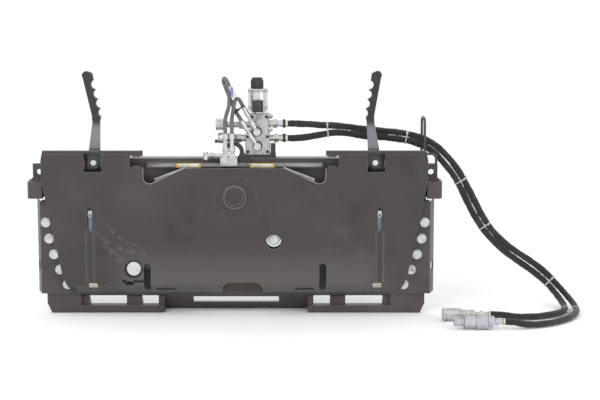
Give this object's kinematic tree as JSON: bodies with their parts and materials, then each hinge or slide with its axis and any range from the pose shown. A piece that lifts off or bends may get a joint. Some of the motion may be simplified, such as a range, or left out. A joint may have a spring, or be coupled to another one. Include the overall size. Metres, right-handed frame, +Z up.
{
  "type": "tilting quick coupler adapter",
  "caption": "Tilting coupler adapter for compact loader attachments, with locking levers, a tilt cylinder, an oil diverter valve and sleeved hoses.",
  "frame": {"origin": "on the ground, midway between the sides, front and back of the frame without its free hoses", "axes": "+X to the right seen from the attachment side, +Y from the tilt plate back to the loader, +Z up"},
  "size_m": [1.6086, 0.3495, 0.7135],
  "materials": {
    "plate_paint": "satin, worn",
    "weld_bead": "worn weld",
    "frame_paint": "satin",
    "black_paint": "satin",
    "zinc": "zinc plated",
    "bare_steel": "bare",
    "floor_coupler": "zinc plated",
    "bush_bronze": "turned",
    "rod_chrome": "polished",
    "valve_body": "machined",
    "black_plastic": "matte",
    "grip_rubber": "matte",
    "hose_rubber": "matte",
    "sleeve_fabric": "woven"
  },
  "bodies": {
    "rear_frame": {"arc_spacers": "frame_paint", "bottom_flange": "frame_paint", "coil_connector": "black_plastic", "coil_nut": "black_plastic", "end_plates": "frame_paint", "female_coupler": "zinc", "floor_female": "floor_coupler", "floor_male": "zinc", "hose_guide": "frame_paint", "hose_sleeve_lower": "sleeve_fabric", "hose_sleeve_upper": "sleeve_fabric", "keeper_bolts": "zinc", "lifting_eye": "black_paint", "male_coupler": "zinc", "outlet_fittings": "zinc", "pilot_fittings": "zinc", "pilot_hose_inner": "hose_rubber", "pilot_hose_outer": "hose_rubber", "pivot_bush": "bush_bronze", "port_plugs": "zinc", "rear_plate": "frame_paint", "rod_pin": "frame_paint", "side_blocks": "frame_paint", "side_sheet_left": "frame_paint", "side_sheet_right": "frame_paint", "skid_bars": "frame_paint", "solenoid_coil": "zinc", "steel_tubes": "zinc", "top_hook": "frame_paint", "valve_block": "valve_body", "valve_bracket": "black_paint"},
    "tilt_plate": {"coupler_plate": "plate_paint", "plate_welds": "weld_bead", "pivot_pin": "bare_steel", "pivot_retainer": "zinc", "slide_arcs": "plate_paint", "wedge_guides": "plate_paint", "lever_brackets": "plate_paint", "lever_bolts": "zinc", "pin_carrier": "plate_paint", "base_pin": "zinc"},
    "lever_left": {"lever_left": "black_paint", "grip_left": "grip_rubber"},
    "lever_right": {"lever_right": "black_paint", "grip_right": "grip_rubber"},
    "lock_left": {"wedge_left": "bare_steel", "link_left": "black_paint", "link_spring_left": "zinc"},
    "lock_right": {"wedge_right": "bare_steel", "link_right": "black_paint", "link_spring_right": "zinc"},
    "cylinder_barrel": {"cylinder_barrel": "black_paint", "cylinder_gland": "black_paint"},
    "cylinder_rod": {"cylinder_rod": "rod_chrome"},
    "coupler_sleeve": {"coupler_sleeve": "zinc"}
  },
  "joints": [
    {"name": "tilt", "type": "hinge", "parent": "rear_frame", "child": "tilt_plate", "pos_m": [0, 0, 0.35], "axis": [0, 1, 0], "range_deg": [-12, 12]},
    {"name": "lever_left_turn", "type": "hinge", "parent": "tilt_plate", "child": "lever_left", "pos_m": [-0.405, -0.045, 0.4515], "axis": [0, 1, 0], "range_deg": [0, 92]},
    {"name": "lever_right_turn", "type": "hinge", "parent": "tilt_plate", "child": "lever_right", "pos_m": [0.405, -0.045, 0.4515], "axis": [0, -1, 0], "range_deg": [0, 92]},
    {"name": "lock_left_slide", "type": "slide", "parent": "tilt_plate", "child": "lock_left", "axis": [0, 0, -1], "range_m": [0, 0.03607]},
    {"name": "lock_right_slide", "type": "slide", "parent": "tilt_plate", "child": "lock_right", "axis": [0, 0, -1], "range_m": [0, 0.03607]},
    {"name": "cylinder_swing", "type": "hinge", "parent": "tilt_plate", "child": "cylinder_barrel", "pos_m": [-0.293, -0.026, 0.142], "axis": [0, 1, 0], "range_deg": [-3, 3]},
    {"name": "rod_slide", "type": "slide", "parent": "cylinder_barrel", "child": "cylinder_rod", "axis": [0.9792, 0, 0.2031], "range_m": [-0.032, 0.032]},
    {"name": "sleeve_slide", "type": "slide", "parent": "rear_frame", "child": "coupler_sleeve", "axis": [1, 0, 0], "range_m": [0, 0.005], "stiffness_N_per_m": 1500, "springref_m": -0.004}
  ],
  "couplings": [
    {"joint": "lock_left_slide", "follows": "lever_left_turn", "m_per_rad": 0.0224},
    {"joint": "lock_right_slide", "follows": "lever_right_turn", "m_per_rad": 0.0224},
    {"joint": "cylinder_swing", "follows": "tilt", "ratio": -0.20277},
    {"joint": "rod_slide", "follows": "tilt", "m_per_rad": 0.14381}
  ]
}
